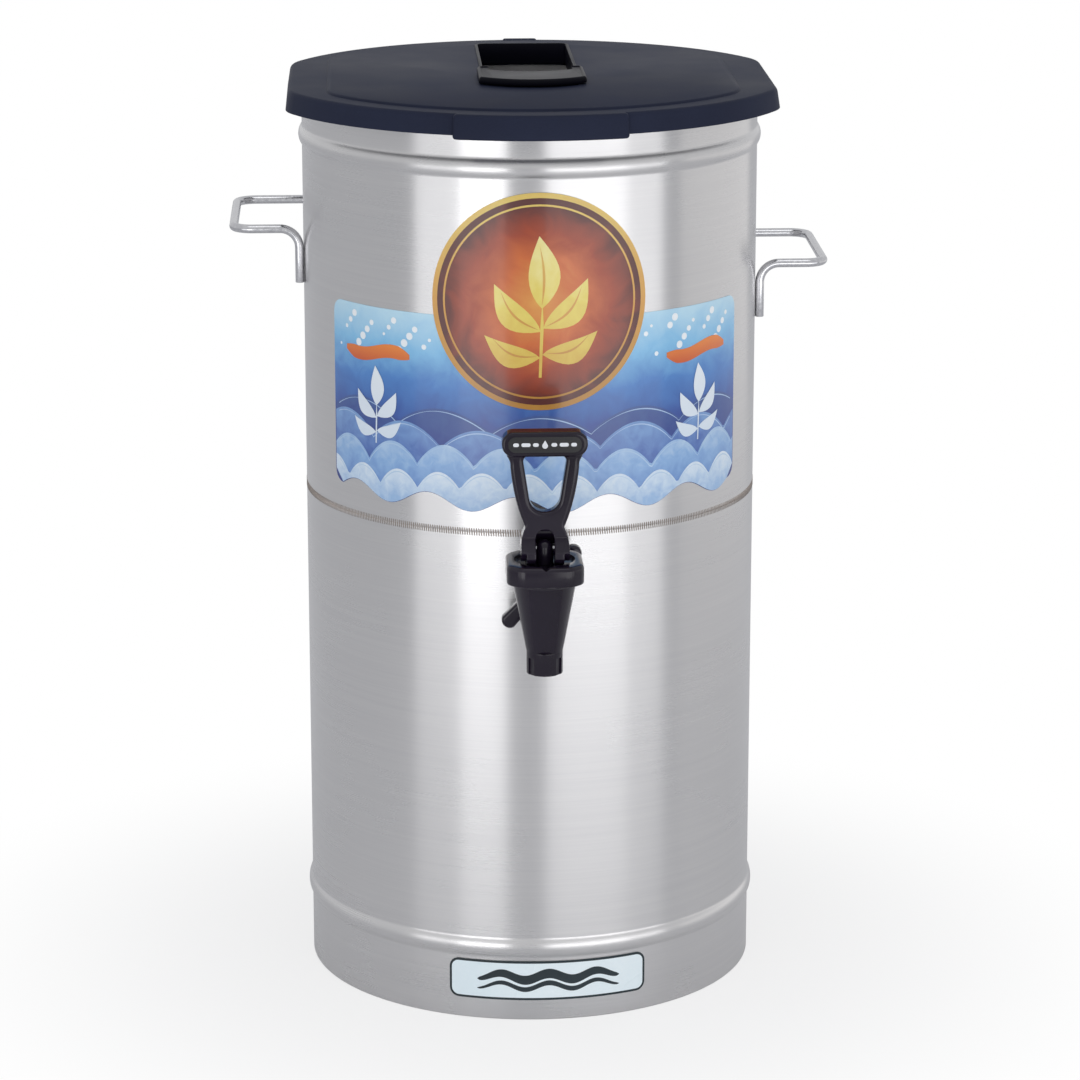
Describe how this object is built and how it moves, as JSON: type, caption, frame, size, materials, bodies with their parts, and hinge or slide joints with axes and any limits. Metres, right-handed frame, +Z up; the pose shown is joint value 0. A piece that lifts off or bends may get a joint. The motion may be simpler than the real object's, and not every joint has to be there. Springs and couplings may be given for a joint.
{
  "type": "iced tea dispenser",
  "caption": "Upright steel drink tank on a raised skirt, with a lift-off lid with a brew-through slot, side loop handles and a lever faucet held by a wing nut.",
  "frame": {"origin": "tank axis in the plane of the bottom hem, on which the dispenser stands", "axes": "+Z up along the tank axis, faucet towards -Y, +X to the right seen from the front"},
  "size_m": [0.3764, 0.3858, 0.5785],
  "materials": {
    "brushed_steel_sheet": "vertical brushed, satin",
    "steel_dish": "drawn, satin",
    "polished_rod": "bright drawn stainless rod",
    "printed_film": "printed vinyl, semi-gloss",
    "plate_face": "satin film with a dark edge line",
    "faucet_black": "moulded, semi-gloss",
    "label_black": "smooth film with white marks",
    "lid_black": "moulded, fine satin grain",
    "insert_black": "polished",
    "washer_rubber": "matt black",
    "cup_silicone": "translucent white silicone",
    "spring_steel": "bright wire",
    "nut_nylon": "moulded, satin"
  },
  "bodies": {
    "dispenser": {"tank_shell": "brushed_steel_sheet", "base_skirt": "brushed_steel_sheet", "tank_bottom": "steel_dish", "handle_left": "polished_rod", "handle_right": "polished_rod", "front_decal": "printed_film", "nameplate": "plate_face", "shank": "nut_nylon", "shank_washer_outer": "washer_rubber", "shank_washer_inner": "washer_rubber", "shank_locknut": "nut_nylon", "faucet_body": "faucet_black", "tailpiece_o_ring": "washer_rubber", "bonnet": "faucet_black", "seat_cup": "cup_silicone", "stem_spring": "spring_steel"},
    "wing_nut": {"wing_nut": "faucet_black"},
    "stem": {"valve_stem": "faucet_black", "lever_pin": "spring_steel"},
    "lever": {"lever_handle": "faucet_black", "lever_label": "label_black"},
    "lid": {"lid": "lid_black", "brew_insert": "insert_black"}
  },
  "joints": [
    {"name": "lid_lift", "type": "slide", "parent": "dispenser", "child": "lid", "axis": [0, 0, 1], "range_m": [0, 0.2]},
    {"name": "lever_tilt", "type": "hinge", "parent": "stem", "child": "lever", "pos_m": [0, -0.2, 0.3212], "axis": [1, 0, 0], "range_deg": [0, 55], "stiffness_Nm_per_rad": 0.042, "springref_deg": -38.96},
    {"name": "stem_lift", "type": "slide", "parent": "dispenser", "child": "stem", "axis": [0, 0, 1], "range_m": [0, 0.0055], "deforming": ["stem_spring", "seat_cup"]},
    {"name": "wing_nut_turn", "type": "hinge", "parent": "dispenser", "child": "wing_nut", "pos_m": [0, -0.16, 0.287], "axis": [0, -1, 0], "continuous": true}
  ],
  "couplings": [
    {"joint": "stem_lift", "follows": "lever_tilt", "m_per_rad": 0.0057296}
  ]
}
